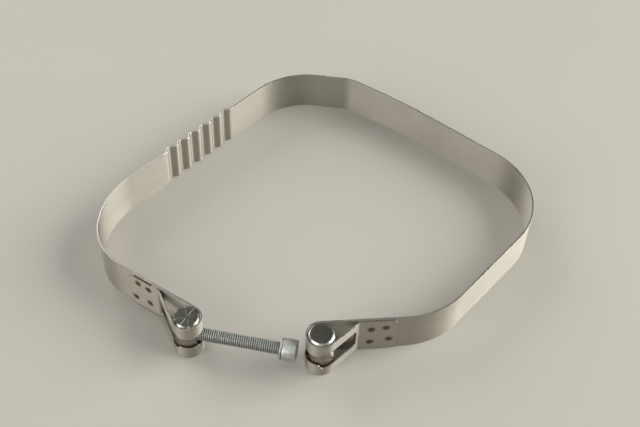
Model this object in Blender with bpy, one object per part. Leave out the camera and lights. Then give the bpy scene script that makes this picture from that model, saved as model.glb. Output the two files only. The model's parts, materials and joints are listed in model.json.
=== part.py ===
"""Strap clamp for an exhaust silencer or a pipe: a thin steel strap, a trunnion in each folded end, and a cap screw.

Metres, +Z up. The strap stands on its edge on the ground, so its plan is drawn in X and Y. The screw is threaded
into the left trunnion only, and its head stands free in the gap between the two ends.
"""

from collections import namedtuple
from math import acos, atan2, ceil, cos, pi, radians, sin, tau

import bmesh
import bpy
from mathutils import Vector

MM = 0.001

# The strap: one strip on edge, its middle surface drawn by rounded corners.
STRAP_WIDTH = 28.0 * MM
STRAP_THICKNESS = 1.0 * MM
MIDDLE_HEIGHT = STRAP_WIDTH / 2
BAND_CORNERS = (  # (corner, fillet radius), from the right end round the back to the left end
    (Vector((72.5, -86.0)) * MM, 49.0 * MM),
    (Vector((154.3, 14.7)) * MM, 48.6 * MM),
    (Vector((48.8, 92.4)) * MM, 480.0 * MM),
    (Vector((16.9, 110.1)) * MM, 22.0 * MM),
    (Vector((-29.8, 114.2)) * MM, 46.0 * MM),
    (Vector((-133.1, -8.0)) * MM, 54.0 * MM),
    (Vector((-133.1, -51.5)) * MM, 40.0 * MM),
)
CORNERS_BEFORE_WAVES = 5

# The springy waves, on the straight between the fifth and sixth corners.
WAVE_COUNT = 6
WAVE_PITCH = 9.6 * MM
WAVE_BEND = radians(52)
WAVE_RADIUS = WAVE_PITCH / 4 / sin(WAVE_BEND)
WAVE_STEPS = 12
WAVES_FROM_CORNER = 79.0 * MM
FLEX_GAP = 0.3 * MM
FLEX_FLAT = 0.6 * MM

# The folded ends: a leg, a loop round the trunnion, a second leg and a pad welded to the band.
TRUNNION_RADIUS = 7.6 * MM
LOOP_RADIUS = 8.9 * MM
LAP_GAP = 0.15 * MM
FOLD_RADIUS = 3.0 * MM
PAD_TRIM = 1.0 * MM
PAD_CHAMFER = 2.0 * MM
WINDOW_NARROW = 8.8 * MM
WINDOW_WIDE = 13.4 * MM
WINDOW_FROM_FOLD = 2.5 * MM
WINDOW_FROM_LEG = radians(16)
LOOP_STEP = radians(10)

StrapEnd = namedtuple("StrapEnd", "side trunnion_at corner turn leg_length pad_length step_from_leg welds")
RIGHT_END = StrapEnd(
    side="right",
    trunnion_at=Vector((4.8, -103.3)) * MM,
    corner=BAND_CORNERS[0][0],
    turn=1,
    leg_length=22.3 * MM,
    pad_length=23.0 * MM,
    step_from_leg=radians(46),
    welds=((7.2, 5.8), (15.6, 7.0), (7.0, -6.4), (18.0, -4.2)),
)
LEFT_END = StrapEnd(
    side="left",
    trunnion_at=Vector((-71.6, -96.5)) * MM,
    corner=BAND_CORNERS[-1][0],
    turn=-1,
    leg_length=25.6 * MM,
    pad_length=21.0 * MM,
    step_from_leg=radians(32),
    welds=((7.4, 7.5), (14.9, 8.2), (7.4, -5.4), (17.8, -6.5)),
)

# Spot welds. An end's welds are (distance from the fold, rise from the strap's middle) in millimetres.
WELD_RADIUS = 2.0 * MM
WELD_HOLE_RADIUS = 2.3 * MM
WELD_DIMPLE = 0.15 * MM

# Trunnions, standing on the ground.
TRUNNION_HEIGHT = 28.5 * MM
TRUNNION_CHAMFER = 1.1 * MM
THREADED_BORE_RADIUS = 4.25 * MM
PLAIN_BORE_RADIUS = 4.5 * MM
PLAIN_BORE_ANGLE = radians(-5.1)

# The M8 cap screw and its washer, placed along the screw's axis from the left trunnion's axis.
SCREW_ANGLE = radians(-8.7)
SCREW_RADIUS = 3.95 * MM
SCREW_LENGTH = 60.0 * MM
SCREW_TIP_CHAMFER = 1.0 * MM
HEAD_RADIUS = 6.5 * MM
HEAD_HEIGHT = 8.0 * MM
HEAD_CHAMFER = 0.6 * MM
SOCKET_ACROSS_FLATS = 6.0 * MM
SOCKET_DEPTH = 4.0 * MM
WASHER_RADIUS = 6.4 * MM
WASHER_BORE_RADIUS = 4.2 * MM
WASHER_THICKNESS = 1.2 * MM
WASHER_FROM_TRUNNION = 54.3 * MM
TOUCHING_GAP = 0.3 * MM

ROUND_STEPS = 48
WELD_STEPS = 20
CORNER_STEP = radians(6)

Station = namedtuple("Station", "at window trim")


def clear_scene():
    for thing in list(bpy.data.objects):
        bpy.data.objects.remove(thing, do_unlink=True)


def metal(name, colour, roughness):
    material = bpy.data.materials.new(name)
    material.use_nodes = True
    shader = material.node_tree.nodes["Principled BSDF"]
    shader.inputs["Base Color"].default_value = (*colour, 1)
    shader.inputs["Roughness"].default_value = roughness
    shader.inputs["Metallic"].default_value = 1
    return material


def unit(angle):
    return Vector((cos(angle), sin(angle)))


def turned_left(direction):
    return Vector((-direction.y, direction.x))


def angle_of(direction):
    return atan2(direction.y, direction.x)


def arc(centre, radius, start, end, step):
    """Points on a circle from the angle start to the angle end, both included."""
    count = max(1, ceil(abs(end - start) / step))
    return [centre + radius * unit(start + (end - start) * i / count) for i in range(count + 1)]


def fillet(before, corner, after, radius, step):
    """The arc that rounds a corner, from the line before it to the line after it."""
    inward = (corner - before).normalized()
    outward = (after - corner).normalized()
    turn = inward.x * outward.y - inward.y * outward.x
    bend = acos(max(-1.0, min(1.0, inward.dot(outward))))
    side = 1 if turn > 0 else -1
    start = corner - inward * radius * sin(bend / 2) / cos(bend / 2)
    centre = start + turned_left(inward) * radius * side
    first = angle_of(start - centre)
    return arc(centre, radius, first, first + bend * side, step)


def tangent_angle(end, point, side):
    """Where a line from the point touches the trunnion's loop, as an angle about the trunnion."""
    away = point - end.trunnion_at
    return angle_of(away) + side * acos(LOOP_RADIUS / away.length)


def end_lines(end):
    """The folded end's driving points: where the loop meets its two legs, and where the pad folds and ends."""
    inner_angle = tangent_angle(end, end.corner, end.turn)
    inner_touch = end.trunnion_at + LOOP_RADIUS * unit(inner_angle)
    along = (end.corner - inner_touch).normalized()
    outward = turned_left(along) * -end.turn
    fold = inner_touch + along * end.leg_length + outward * (STRAP_THICKNESS + LAP_GAP)
    outer_angle = tangent_angle(end, fold, -end.turn)
    if (inner_angle - outer_angle) * end.turn > 0:
        outer_angle += tau * end.turn
    return inner_angle, inner_touch, along, outward, fold, outer_angle


def loop_stations(end, outer_angle, inner_angle):
    """Round the trunnion from the outer leg to the inner one, the window narrowing on the way."""
    turn = -end.turn
    step_half = (WINDOW_WIDE - WINDOW_NARROW) / 4 / LOOP_RADIUS
    step_angle = outer_angle + turn * end.step_from_leg
    stops = (
        (outer_angle, WINDOW_WIDE),
        (step_angle - turn * step_half, WINDOW_WIDE),
        (step_angle + turn * step_half, WINDOW_NARROW),
        (inner_angle - turn * WINDOW_FROM_LEG, WINDOW_NARROW),
    )
    stations = []
    for (start, window), (stop, _) in zip(stops, stops[1:]):
        points = arc(end.trunnion_at, LOOP_RADIUS, start, stop, LOOP_STEP)
        stations += [Station(point, window, 0) for point in points[:-1]]
    points = arc(end.trunnion_at, LOOP_RADIUS, stops[-1][0], inner_angle, LOOP_STEP)
    stations.append(Station(points[0], WINDOW_NARROW, 0))
    stations += [Station(point, 0, 0) for point in points[1:]]
    return stations


def end_stations(end):
    """The folded end, from the pad's free edge to where the inner leg leaves the loop."""
    inner_angle, _, along, _, fold, outer_angle = end_lines(end)
    outer_touch = end.trunnion_at + LOOP_RADIUS * unit(outer_angle)
    leg = (outer_touch - fold).normalized()
    pad_end = fold + along * end.pad_length
    stations = [
        Station(pad_end, 0, PAD_TRIM + PAD_CHAMFER),
        Station(pad_end - along * PAD_CHAMFER, 0, PAD_TRIM),
    ]
    bend = fillet(pad_end, fold, outer_touch, FOLD_RADIUS, radians(12))
    stations += [Station(point, 0, PAD_TRIM) for point in bend]
    stations.append(Station(fold + leg * WINDOW_FROM_FOLD, WINDOW_WIDE, PAD_TRIM))
    return stations + loop_stations(end, outer_angle, inner_angle)


def corner_stations(corners, before, after):
    """The band's rounded corners between two neighbouring points."""
    places = [before] + [corner for corner, _ in corners] + [after]
    stations = []
    for i, (corner, radius) in enumerate(corners):
        points = fillet(places[i], corner, places[i + 2], radius, CORNER_STEP)
        stations += [Station(point, 0, 0) for point in points]
    return stations


def wave_line():
    """The middle of the waves, the way that they run, and the side that they rise to."""
    last_before = BAND_CORNERS[CORNERS_BEFORE_WAVES - 1][0]
    first_after = BAND_CORNERS[CORNERS_BEFORE_WAVES][0]
    way = (first_after - last_before).normalized()
    return first_after - way * WAVES_FROM_CORNER, way, -turned_left(way)


def wave_profile(share):
    """How far along and how high a point is, a share of one wave on from its valley. A wave is four equal arcs."""
    climb = 2 * min(share, 1 - share)
    turned = 2 * min(climb, 1 - climb) * WAVE_BEND
    along = WAVE_RADIUS * sin(turned)
    rise = WAVE_RADIUS * (1 - cos(turned))
    if climb > 0.5:
        along = WAVE_PITCH / 2 - along
        rise = 2 * WAVE_RADIUS * (1 - cos(WAVE_BEND)) - rise
    if share > 0.5:
        along = WAVE_PITCH - along
    return along, rise


def wave_stations(side):
    """Half of the waves, from the gap in the middle valley outwards: side is -1 towards the long side, else 1."""
    middle, way, outward = wave_line()
    stations = [Station(middle + way * side * shift, 0, 0) for shift in (FLEX_GAP / 2, FLEX_FLAT)]
    for i in range(1, WAVE_COUNT // 2 * WAVE_STEPS + 1):
        along, rise = wave_profile(i % WAVE_STEPS / WAVE_STEPS)
        along += i // WAVE_STEPS * WAVE_PITCH
        stations.append(Station(middle + way * side * along + outward * rise, 0, 0))
    return stations


def long_side_stations():
    middle = wave_line()[0]
    waves = wave_stations(-1)[::-1]
    corners = BAND_CORNERS[:CORNERS_BEFORE_WAVES]
    inner_touch = end_lines(RIGHT_END)[1]
    return end_stations(RIGHT_END) + corner_stations(corners, inner_touch, middle) + waves


def short_side_stations():
    middle = wave_line()[0]
    waves = wave_stations(1)
    corners = BAND_CORNERS[CORNERS_BEFORE_WAVES:]
    inner_touch = end_lines(LEFT_END)[1]
    return waves + corner_stations(corners, middle, inner_touch) + end_stations(LEFT_END)[::-1]


def column(mesh, station, origin):
    """Four points of the strap's sheet at one place: bottom edge, window sill, window head and top edge."""
    half = (station.window or WINDOW_NARROW) / 2
    heights = (station.trim, MIDDLE_HEIGHT - half, MIDDLE_HEIGHT + half, STRAP_WIDTH - station.trim)
    plan = station.at - origin.xy
    return [mesh.verts.new((plan.x, plan.y, height - origin.z)) for height in heights]


def object_of(name, mesh, material):
    data = bpy.data.meshes.new(name)
    bmesh.ops.recalc_face_normals(mesh, faces=mesh.faces)
    mesh.to_mesh(data)
    mesh.free()
    if material:
        data.materials.append(material)
    thing = bpy.data.objects.new(name, data)
    bpy.context.scene.collection.objects.link(thing)
    return thing


def axis_empty(name, location, parent=None):
    """An empty that stands on a joint's axis and carries what moves about it."""
    empty = bpy.data.objects.new(name, None)
    bpy.context.scene.collection.objects.link(empty)
    empty.parent = parent
    empty.location = location - (parent.matrix_world.translation if parent else Vector())
    bpy.context.view_layer.update()
    return empty


def strap_half(name, stations, origin, material):
    """A sheet along the stations, open between window stations, then thickened to the strap's gauge."""
    mesh = bmesh.new()
    columns = [column(mesh, station, origin) for station in stations]
    for i in range(len(stations) - 1):
        near, far = columns[i], columns[i + 1]
        is_open = stations[i].window and stations[i + 1].window
        for level in (0, 2) if is_open else (0, 1, 2):
            mesh.faces.new((near[level], far[level], far[level + 1], near[level + 1]))
    strap = object_of(name, mesh, material)
    solidify = strap.modifiers.new("gauge", "SOLIDIFY")
    solidify.thickness = STRAP_THICKNESS
    solidify.offset = 0
    solidify.use_even_offset = True
    return strap


def round_body(name, profile, steps, material):
    """A turned body: (radius, height) points from the axis round to the axis, spun about local Z."""
    mesh = bmesh.new()
    rings = []
    for radius, height in profile:
        if radius == 0:
            rings.append([mesh.verts.new((0, 0, height))])
        else:
            places = (radius * unit(tau * i / steps) for i in range(steps))
            rings.append([mesh.verts.new((place.x, place.y, height)) for place in places])
    pairs = list(zip(rings, rings[1:]))
    if len(rings[0]) > 1:
        pairs.append((rings[-1], rings[0]))
    for lower, upper in pairs:
        for i in range(steps):
            j = (i + 1) % steps
            corners = (lower[i % len(lower)], lower[j % len(lower)], upper[j % len(upper)], upper[i % len(upper)])
            mesh.faces.new(tuple(dict.fromkeys(corners)))
    return object_of(name, mesh, material)


def rod_cutter(name, radius, length, steps=ROUND_STEPS):
    """A hidden cylinder for a Boolean, centred on its origin along local Z."""
    half = length / 2
    cutter = round_body(name, ((0, -half), (radius, -half), (radius, half), (0, half)), steps, None)
    cutter.hide_render = True
    cutter.display_type = "WIRE"
    return cutter


def cut(body, cutter):
    boolean = body.modifiers.new(cutter.name, "BOOLEAN")
    boolean.operation = "DIFFERENCE"
    boolean.solver = "EXACT"
    boolean.object = cutter


def pointing(direction):
    """The rotation that turns local Z to a horizontal direction."""
    return Vector((direction.x, direction.y, 0)).to_track_quat("Z", "Y").to_euler()


def spot_welds(end, strap, parent, material):
    """Four welds that hold the pad to the band, each filling a hole through both layers."""
    _, inner_touch, along, outward, fold, _ = end_lines(end)
    layers = 2 * STRAP_THICKNESS + LAP_GAP
    depth = layers - 2 * WELD_DIMPLE
    pad_face = fold + outward * STRAP_THICKNESS / 2
    for number, (distance, rise) in enumerate(end.welds, start=1):
        at = pad_face + along * distance * MM - outward * layers / 2
        at = Vector((at.x, at.y, MIDDLE_HEIGHT + rise * MM))
        name = f"spot_weld_{end.side}_{number}"
        hole = rod_cutter(f"hole_for_{name}", WELD_HOLE_RADIUS, 2 * layers, WELD_STEPS)
        hole.location = at
        hole.rotation_euler = pointing(outward)
        cut(strap, hole)
        half = depth / 2
        profile = ((0, -half), (WELD_RADIUS, -half), (WELD_RADIUS, half), (0, half))
        weld = round_body(name, profile, WELD_STEPS, material)
        weld.rotation_euler = pointing(outward)
        weld.parent = parent
        weld.location = at - (parent.matrix_world.translation if parent else Vector())


def trunnion(name, axis, bore_radius, bore_angle, material):
    """An upright barrel with chamfered ends and a bore across it at the strap's middle."""
    inner = TRUNNION_RADIUS - TRUNNION_CHAMFER
    top = TRUNNION_HEIGHT
    profile = (
        (0, 0),
        (inner, 0),
        (TRUNNION_RADIUS, TRUNNION_CHAMFER),
        (TRUNNION_RADIUS, top - TRUNNION_CHAMFER),
        (inner, top),
        (0, top),
    )
    barrel = round_body(name, profile, ROUND_STEPS, material)
    barrel.parent = axis
    bore = rod_cutter(f"{name}_bore", bore_radius, 4 * TRUNNION_RADIUS)
    bore.parent = axis
    bore.location = (0, 0, MIDDLE_HEIGHT)
    bore.rotation_euler = pointing(unit(bore_angle))
    cut(barrel, bore)


def cap_screw(axis, material):
    """A socket-head cap screw along local Z, its head's underside at local zero and its tip below."""
    head_inner = HEAD_RADIUS - HEAD_CHAMFER
    tip = -SCREW_LENGTH
    profile = (
        (0, tip),
        (SCREW_RADIUS - SCREW_TIP_CHAMFER, tip),
        (SCREW_RADIUS, tip + SCREW_TIP_CHAMFER),
        (SCREW_RADIUS, 0),
        (HEAD_RADIUS, 0),
        (HEAD_RADIUS, HEAD_HEIGHT - HEAD_CHAMFER),
        (head_inner, HEAD_HEIGHT),
        (0, HEAD_HEIGHT),
    )
    screw = round_body("cap_screw", profile, ROUND_STEPS, material)
    screw.parent = axis
    corner_radius = SOCKET_ACROSS_FLATS / 2 / cos(pi / 6)
    socket = rod_cutter("hex_socket", corner_radius, 2 * SOCKET_DEPTH, 6)
    socket.parent = axis
    socket.location = (0, 0, HEAD_HEIGHT)
    cut(screw, socket)


def washer(axis, material):
    """The washer under the head, its free face towards the left trunnion."""
    near = -TOUCHING_GAP - WASHER_THICKNESS
    far = -TOUCHING_GAP
    profile = (
        (WASHER_BORE_RADIUS, near),
        (WASHER_RADIUS, near),
        (WASHER_RADIUS, far),
        (WASHER_BORE_RADIUS, far),
    )
    ring = round_body("lock_washer", profile, ROUND_STEPS, material)
    ring.parent = axis


def build_straps(steel, welded):
    middle = wave_line()[0]
    flex_axis = axis_empty("band_flex_axis", Vector((middle.x, middle.y, 0)))
    long_side = strap_half("strap_long_side", long_side_stations(), Vector((0, 0, 0)), steel)
    spot_welds(RIGHT_END, long_side, None, welded)
    origin = flex_axis.matrix_world.translation
    short_side = strap_half("strap_short_side", short_side_stations(), origin, steel)
    short_side.parent = flex_axis
    spot_welds(LEFT_END, short_side, flex_axis, welded)
    return flex_axis


def build_fastening(flex_axis, turned, zinc):
    right_at = RIGHT_END.trunnion_at
    left_at = LEFT_END.trunnion_at
    right_axis = axis_empty("plain_trunnion_axis", Vector((right_at.x, right_at.y, 0)))
    trunnion("plain_trunnion", right_axis, PLAIN_BORE_RADIUS, PLAIN_BORE_ANGLE, turned)
    left_axis = axis_empty("threaded_trunnion_axis", Vector((left_at.x, left_at.y, 0)), flex_axis)
    trunnion("threaded_trunnion", left_axis, THREADED_BORE_RADIUS, SCREW_ANGLE, turned)
    way = unit(SCREW_ANGLE)
    head_at = left_at + way * (WASHER_FROM_TRUNNION + WASHER_THICKNESS + TOUCHING_GAP)
    screw_axis = axis_empty("screw_axis", Vector((head_at.x, head_at.y, MIDDLE_HEIGHT)), left_axis)
    screw_axis.rotation_euler = pointing(way)
    cap_screw(screw_axis, zinc)
    washer(screw_axis, zinc)


def main():
    clear_scene()
    steel = metal("satin_stainless_strap", (0.42, 0.40, 0.36), 0.38)
    welded = metal("heat_tinted_weld", (0.16, 0.11, 0.07), 0.55)
    turned = metal("turned_steel_trunnion", (0.34, 0.34, 0.31), 0.3)
    zinc = metal("zinc_plated_screw", (0.55, 0.58, 0.55), 0.35)
    flex_axis = build_straps(steel, welded)
    build_fastening(flex_axis, turned, zinc)


main()
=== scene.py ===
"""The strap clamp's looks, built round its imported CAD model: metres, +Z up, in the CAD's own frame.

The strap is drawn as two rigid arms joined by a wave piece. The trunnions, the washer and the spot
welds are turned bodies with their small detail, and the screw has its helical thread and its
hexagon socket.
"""

import json
from collections import namedtuple
from math import acos, atan2, ceil, cos, pi, radians, sin, sqrt, tau

import bmesh
import bpy
from mathutils import Matrix, Vector

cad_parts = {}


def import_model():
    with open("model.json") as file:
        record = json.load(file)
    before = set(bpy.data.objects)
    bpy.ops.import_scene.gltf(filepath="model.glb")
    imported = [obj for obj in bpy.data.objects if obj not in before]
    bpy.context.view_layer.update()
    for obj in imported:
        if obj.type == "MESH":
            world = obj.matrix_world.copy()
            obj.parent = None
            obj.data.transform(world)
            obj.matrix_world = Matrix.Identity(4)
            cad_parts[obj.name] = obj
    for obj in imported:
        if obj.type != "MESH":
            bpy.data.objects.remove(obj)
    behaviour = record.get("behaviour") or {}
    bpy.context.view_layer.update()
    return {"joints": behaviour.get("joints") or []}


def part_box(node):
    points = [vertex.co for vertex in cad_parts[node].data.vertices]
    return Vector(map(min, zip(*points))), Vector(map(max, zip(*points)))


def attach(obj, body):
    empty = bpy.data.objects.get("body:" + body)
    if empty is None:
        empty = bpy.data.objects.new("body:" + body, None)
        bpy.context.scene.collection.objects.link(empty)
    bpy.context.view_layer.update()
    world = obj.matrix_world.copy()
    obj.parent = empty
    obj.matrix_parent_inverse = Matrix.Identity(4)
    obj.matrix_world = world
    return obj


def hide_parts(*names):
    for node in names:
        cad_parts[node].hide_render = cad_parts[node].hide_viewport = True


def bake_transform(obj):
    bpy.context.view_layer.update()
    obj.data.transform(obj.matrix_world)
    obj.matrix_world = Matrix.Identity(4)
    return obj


MM = 0.001

# The strap: one strip on edge. These driving dimensions are the CAD model's.
STRAP_WIDTH = 28.0 * MM
STRAP_THICKNESS = 1.0 * MM
MIDDLE_HEIGHT = STRAP_WIDTH / 2
BAND_CORNERS = (  # (corner, fillet radius), from the right end round the back to the left end
    (Vector((72.5, -86.0)) * MM, 49.0 * MM),
    (Vector((154.3, 14.7)) * MM, 48.6 * MM),
    (Vector((48.8, 92.4)) * MM, 480.0 * MM),
    (Vector((16.9, 110.1)) * MM, 22.0 * MM),
    (Vector((-29.8, 114.2)) * MM, 46.0 * MM),
    (Vector((-133.1, -8.0)) * MM, 54.0 * MM),
    (Vector((-133.1, -51.5)) * MM, 40.0 * MM),
)
CORNERS_BEFORE_WAVES = 5
WAVE_COUNT = 6
WAVE_PITCH = 9.6 * MM
WAVE_BEND = radians(52)
WAVE_RADIUS = WAVE_PITCH / 4 / sin(WAVE_BEND)
WAVES_FROM_CORNER = 79.0 * MM
WAVE_STEPS = 24
WAVE_MARGIN = 3.0 * MM

# The folded ends.
LAP_GAP = 0.15 * MM
FOLD_RADIUS = 3.0 * MM
PAD_TRIM = 1.0 * MM
PAD_CHAMFER = 2.0 * MM
WINDOW_NARROW = 8.8 * MM
WINDOW_WIDE = 13.4 * MM
WINDOW_STEP_LENGTH = 2.3 * MM
WINDOW_CORNER = 1.2 * MM
WINDOW_FROM_FOLD = 2.5 * MM
WINDOW_FROM_LEG = radians(16)

# An end's corner is the band's nearest one. Its turn is 1 where the band touches the loop on the
# anticlockwise side of the way to that corner, and -1 where it touches on the other side. A weld is
# its distance from the fold and its height above the strap's middle, in millimetres. Rust, where
# there is some, is on the pad's top rim between two distances from the fold.
StrapEnd = namedtuple(
    "StrapEnd",
    "side body trunnion loop_radius corner turn leg_length pad_length step_from_leg welds rust",
)
RIGHT_END = StrapEnd(
    side="right",
    body="long_side",
    trunnion="plain_trunnion",
    loop_radius=8.6 * MM,
    corner=BAND_CORNERS[0][0],
    turn=1,
    leg_length=22.3 * MM,
    pad_length=23.0 * MM,
    step_from_leg=radians(46),
    welds=((7.2, 5.8), (15.6, 7.0), (7.0, -6.4), (18.0, -4.2)),
    rust=None,
)
LEFT_END = StrapEnd(
    side="left",
    body="short_side",
    trunnion="threaded_trunnion",
    loop_radius=8.4 * MM,
    corner=BAND_CORNERS[-1][0],
    turn=-1,
    leg_length=25.6 * MM,
    pad_length=21.0 * MM,
    step_from_leg=radians(32),
    welds=((7.4, 7.5), (14.9, 8.2), (7.4, -5.4), (17.8, -6.5)),
    rust=(6.0 * MM, 17.0 * MM),
)

# The strap's mesh.
FINE_STEP = 0.36 * MM
ARC_STEP = radians(3)
SILL_ROWS = 26
WINDOW_ROWS = 14
SHEET_MERGE = 0.001 * MM
SEAM_TOLERANCE = 0.01 * MM
SEAM_REACH = 2.0 * MM
EDGE_BEVEL = 0.22 * MM
EDGE_SEGMENTS = 4
SHARP_ANGLE = radians(38)

# Spot welds: a shallow dimple in both outer faces, and a nugget of melted metal in its middle.
DIMPLE_DEPTH = 0.2 * MM
DIMPLE_FLAT = 1.1 * MM
DIMPLE_RADIUS = 2.2 * MM
FACE_TOLERANCE = 0.05 * MM
NUGGET_RADIUS = 1.4 * MM
NUGGET_CROWN = 0.04 * MM
NUGGET_STEPS = 40

# Scorch and painted shade, from 0 on clean steel to 1: the welds' heat and rust, painted shade low
# inside the loop and in the pocket between the two legs, and a dark line at the pad's free end that
# is partly a brown stain and partly a painted contact shadow.
# HEAT_THROUGH is how far through the two layers the heat goes, as a share of half their thickness.
HEAT_RADIUS = 3.9 * MM
HEAT_CORE = 0.4 * MM
HEAT_THROUGH = 1.1
HAZE_RADIUS = 11.0 * MM
HAZE = 0.13
# The pad's free end: a thin dark line, partly a brown stain and partly a painted contact shadow.
PAD_END_STAIN_AND_SHADOW = 0.4
PAD_END_STAIN_AND_SHADOW_LENGTH = 0.7 * MM
RUST = 0.62
RUST_DEPTH = 1.0 * MM
RUST_FADE = 2.0 * MM
# Painted shade in the recesses: on the inner leg in the pocket between the legs, and low on the
# loop's inner face round the trunnion.
POCKET_PAINTED_SHADE = 0.6
LOOP_PAINTED_SHADE = 0.9
LOOP_PAINTED_SHADE_FADE = 2.5 * MM

# Trunnions. The turned lines are fine grooves round the barrel at these heights.
TRUNNION_CHAMFER = 1.1 * MM
CHAMFER_SOFTENING = 0.1 * MM
TURNED_LINES = (3.2 * MM, 5.0 * MM, 22.6 * MM, 24.4 * MM, 25.6 * MM)
TURNED_LINE_DEPTH = 0.05 * MM
TURNED_LINE_HALF_WIDTH = 0.15 * MM
THREADED_BORE_RADIUS = 4.25 * MM
PLAIN_BORE_RADIUS = 4.5 * MM
PLAIN_BORE_ANGLE = radians(-5.1)
BORE_CHAMFER = 0.5 * MM
BORE_STEPS = 64
STAR_RAYS = 8
STAR_TURN = radians(17)
STAR_DEPTH = 0.07 * MM
STAR_HALF_WIDTH = 0.38 * MM
STAR_START = 0.6 * MM
STAR_FULL_DEPTH_FROM = 1.6 * MM
STAR_DENT_DEPTH = 0.2 * MM
STAR_DENT_RADIUS = 0.9 * MM
STAR_STEPS = 320
STAR_CHAMFER_ROWS = 6
STAR_FACE_ROWS = 16
ROUND_STEPS = 96
TRUNNION_SHARP_ANGLE = radians(25)

# The cap screw, M8 with a hexagon socket, and its washer. The thread's crest and each of its two
# flanks are shares of its pitch.
THREAD_PITCH = 1.25 * MM
THREAD_OUTER = 3.95 * MM
THREAD_DEPTH = 0.72 * MM
THREAD_CREST = 0.16
THREAD_FLANK = 0.34
THREAD_STEPS = 36
THREAD_ROWS = 8
THREAD_FADE = 2.2 * MM
SCREW_LENGTH = 60.0 * MM
TIP_CHAMFER = 1.0 * MM
NECK_LENGTH = 0.4 * MM
NECK_FILLET = 0.2 * MM
HEAD_RADIUS = 6.5 * MM
HEAD_HEIGHT = 8.0 * MM
HEAD_LOWER_EDGE = 0.4 * MM
HEAD_UPPER_EDGE = 0.8 * MM
HEAD_EDGE_STEPS = 4
SOCKET_ACROSS_FLATS = 6.0 * MM
SOCKET_DEPTH = 4.0 * MM
SOCKET_CHAMFER = 0.3 * MM
SOCKET_CONE = 0.8 * MM
SCREW_MERGE = 0.002 * MM
SCREW_SHARP_ANGLE = radians(30)
TOUCHING_GAP = 0.3 * MM
WASHER_RADIUS = 6.4 * MM
WASHER_BORE_RADIUS = 4.2 * MM
WASHER_THICKNESS = 1.2 * MM
WASHER_EDGE = 0.25 * MM
WASHER_EDGE_MIDDLE = 0.07 * MM
WASHER_SHARP_ANGLE = radians(50)

# Finishes: a metal's darkest and lightest tones, in linear RGB, and its roughness.
Finish = namedtuple("Finish", "name dark light roughness")
SATIN_STRIP = Finish("satin_strip", (0.42, 0.395, 0.338), (0.48, 0.455, 0.394), 0.5)
# A lighter copy of the strip's finish: a painted highlight along the cut edges and their rounding.
CUT_EDGE_PAINTED_HIGHLIGHT = Finish("cut_edge_painted_highlight", (0.6, 0.57, 0.51), (0.7, 0.67, 0.6), 0.3)
ZINC_PLATING = Finish("zinc_plating", (0.39, 0.405, 0.37), (0.56, 0.575, 0.53), 0.46)
TURNED_BARREL = Finish("turned_barrel", (0.24, 0.22, 0.19), (0.36, 0.33, 0.285), 0.42)
# Painted shade and painted highlight: a darker copy of the turned steel for the trunnions' end faces
# and a lighter copy for their chamfers.
END_FACE_PAINTED_SHADE = Finish("end_face_painted_shade", (0.18, 0.182, 0.152), (0.245, 0.245, 0.21), 0.3)
CHAMFER_PAINTED_HIGHLIGHT = Finish("chamfer_painted_highlight", (0.52, 0.51, 0.47), (0.64, 0.63, 0.58), 0.32)

# Browns, as (position, colour) along a ramp, and other single colours.
# These browns colour the scorch attribute, which holds painted shade as well as heat tint and rust.
SCORCH_AND_SHADE_BROWNS = (
    (0.34, (0.27, 0.205, 0.14)),
    (0.72, (0.135, 0.092, 0.055)),
    (1.0, (0.04, 0.028, 0.018)),
)
WELD_BROWNS = ((0.3, (0.035, 0.024, 0.015)), (0.7, (0.12, 0.082, 0.05)))
# The cut edges' brown, for both their scorch and their painted shade.
EDGE_SCORCH_AND_SHADE = (0.1, 0.062, 0.035)
# Painted shade in the thread's roots, the socket and the tip's end.
THREAD_ROOT_PAINTED_SHADE = (0.2, 0.205, 0.185)
FLOOR_DARK = (0.365, 0.347, 0.305)
FLOOR_LIGHT = (0.39, 0.372, 0.327)
FLOOR_ROUGHNESS = 0.75

# The setting. A light's azimuth is 0 on the camera's side and 90 on the right-hand side. Its angles
# are in degrees, its distance and size in metres and its power in watts.
FLOOR_HALF_SIZE = 4.0
SKY_COLOUR = (1.0, 0.985, 0.95)
SKY_STRENGTH = 0.14
Light = namedtuple("Light", "name azimuth elevation distance size power")
LIGHTS = (
    Light("soft_left", -48, 28, 3.2, 2.2, 54),
    Light("soft_right", 98, 30, 3.2, 2.8, 172),
    Light("back_left", -134, 25, 3.2, 2.4, 72),
    Light("front", -8, 28, 3.2, 2.6, 7),
    Light("overhead", -15, 80, 3.0, 1.6, 13),
)
CAMERA_PLACE = (0.0004, -0.4332, 0.51152)
CAMERA_PITCH = radians(49.088)
CAMERA_ROLL = radians(3.008)
CAMERA_LENS = 58.62
CAMERA_SENSOR = 36.0
CAMERA_NEAR = 0.01

# A place along the strap: its middle line's plan point, the window's height there (0 for none),
# and how much is trimmed off each edge.
Station = namedtuple("Station", "at window trim")


# Plan geometry.


def unit(angle):
    """The plan direction at an angle from +X."""
    return Vector((cos(angle), sin(angle)))


def turned_left(direction):
    return Vector((-direction.y, direction.x))


def angle_of(direction):
    return atan2(direction.y, direction.x)


def smooth(low, high, value):
    """0 below low, 1 above high and a smooth rise in between."""
    share = max(0.0, min(1.0, (value - low) / (high - low)))
    return share * share * (3 - 2 * share)


def arc(centre, radius, start, end):
    """Plan points along an arc, from its start angle to its end angle."""
    count = max(1, ceil(abs(end - start) / ARC_STEP))
    return [centre + radius * unit(start + (end - start) * i / count) for i in range(count + 1)]


def fillet(before, corner, after, radius):
    """The arc that rounds a corner, from the line before it to the line after it."""
    inward = (corner - before).normalized()
    outward = (after - corner).normalized()
    turn = inward.x * outward.y - inward.y * outward.x
    bend = acos(max(-1.0, min(1.0, inward.dot(outward))))
    side = 1 if turn > 0 else -1
    start = corner - inward * radius * sin(bend / 2) / cos(bend / 2)
    centre = start + turned_left(inward) * radius * side
    first = angle_of(start - centre)
    return arc(centre, radius, first, first + bend * side)


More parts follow.
